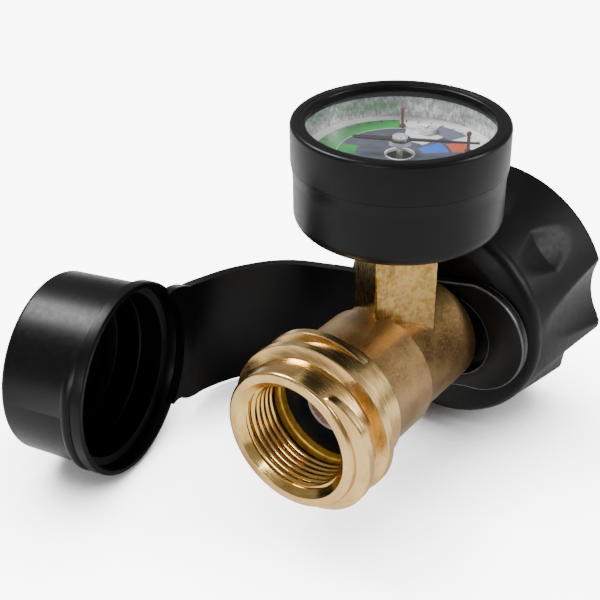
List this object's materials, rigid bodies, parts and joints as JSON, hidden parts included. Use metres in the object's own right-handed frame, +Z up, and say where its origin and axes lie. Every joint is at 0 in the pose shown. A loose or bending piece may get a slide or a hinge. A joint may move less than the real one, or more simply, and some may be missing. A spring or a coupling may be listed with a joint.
{
  "type": "inline gas cylinder gauge adapter",
  "caption": "Screwed brass inline adapter with a small back-entry pressure gauge on a square stem, a ridged black hand nut and a strapped dust cap.",
  "frame": {"origin": "centre of the outlet mouth, on the flow axis", "axes": "+Y along the flow axis from the outlet mouth to the hand nut, +Z up towards the gauge's dial, +X to the right seen from the outlet"},
  "size_m": [0.0908, 0.0973, 0.0773],
  "materials": {
    "body_brass": "matte, as forged",
    "nipple_brass": "turned",
    "stem_brass": "bright, turned",
    "tube_bronze": "drawn",
    "plated_steel": "plated",
    "spring_steel": "drawn wire",
    "reflector_metal": "bright",
    "seal_rubber": "smooth",
    "nut_plastic": "satin",
    "cap_plastic": "satin",
    "case_paint": "satin",
    "lens_clear": "clear",
    "dial_paint": "printed, satin",
    "pointer_paint": "satin",
    "pin_paint": "satin",
    "poppet_plastic": "moulded",
    "bushing_plastic": "moulded"
  },
  "bodies": {
    "adapter": {"valve_body": "body_brass", "outlet_seal": "seal_rubber", "seat_sleeve": "plated_steel", "check_spring": "spring_steel", "inlet_nipple": "nipple_brass", "shank_o_ring": "seal_rubber", "nose_o_ring": "seal_rubber", "flow_spring": "spring_steel", "spring_clip": "spring_steel", "thermal_bushing": "bushing_plastic", "gauge_stem": "stem_brass", "gauge_case": "case_paint", "gauge_bezel": "case_paint", "gauge_lens": "lens_clear", "lens_gasket": "seal_rubber", "reflector_ring": "reflector_metal", "dial_plate": "dial_paint", "dial_posts": "stem_brass", "dial_screws": "plated_steel", "stop_pins": "pin_paint", "bourdon_tube": "tube_bronze", "hairspring": "spring_steel", "lower_plate": "stem_brass", "upper_plate": "stem_brass", "plate_pillars": "plated_steel", "pillar_screws": "plated_steel", "movement_screws": "plated_steel"},
    "nut": {"coupling_nut": "nut_plastic"},
    "cap": {"dust_cap": "cap_plastic", "cap_strap": "cap_plastic"},
    "poppet": {"check_poppet": "poppet_plastic"},
    "plug": {"flow_plug": "nipple_brass"},
    "sector": {"sector_gear": "stem_brass"},
    "spindle": {"pinion_spindle": "plated_steel", "pointer": "pointer_paint", "pointer_hub": "plated_steel"},
    "link": {"tube_link": "stem_brass"},
    "tip": {"tube_tip": "stem_brass"}
  },
  "joints": [
    {"name": "nut_spin", "type": "hinge", "parent": "adapter", "child": "nut", "pos_m": [0, 0.0545, 0], "axis": [0, 1, 0], "continuous": true},
    {"name": "strap_swivel", "type": "hinge", "parent": "adapter", "child": "cap", "pos_m": [0, 0.05011, 0], "axis": [0, 1, 0], "range_deg": [-200, 25]},
    {"name": "poppet_slide", "type": "slide", "parent": "adapter", "child": "poppet", "axis": [0, 1, 0], "range_m": [0, 0.004], "stiffness_N_per_m": 400, "springref_m": -0.003, "deforming": ["check_spring"]},
    {"name": "plug_slide", "type": "slide", "parent": "adapter", "child": "plug", "axis": [0, -1, 0], "range_m": [0, 0.002], "stiffness_N_per_m": 400, "springref_m": -0.002, "deforming": ["flow_spring"]},
    {"name": "sector_swing", "type": "hinge", "parent": "adapter", "child": "sector", "pos_m": [-0.01119, 0.03454, 0.04], "axis": [0, 0, 1], "range_deg": [-0.9, 32.75]},
    {"name": "pointer_spin", "type": "hinge", "parent": "adapter", "child": "spindle", "pos_m": [0, 0.03571, 0.04], "axis": [0, 0, 1], "range_deg": [-262.1, 7.3]},
    {"name": "link_pivot", "type": "hinge", "parent": "sector", "child": "link", "pos_m": [-0.01463, 0.03517, 0.0405], "axis": [0, 0, 1], "range_deg": [-33, 1]},
    {"name": "tip_slide", "type": "slide", "parent": "adapter", "child": "tip", "axis": [0.1045, -0.9945, 0], "range_m": [-0.0001, 0.0021], "deforming": ["bourdon_tube"]}
  ],
  "couplings": [
    {"joint": "pointer_spin", "follows": "sector_swing", "ratio": -8},
    {"joint": "link_pivot", "follows": "sector_swing", "ratio": -1},
    {"joint": "tip_slide", "follows": "sector_swing", "m_per_rad": 0.003457}
  ]
}
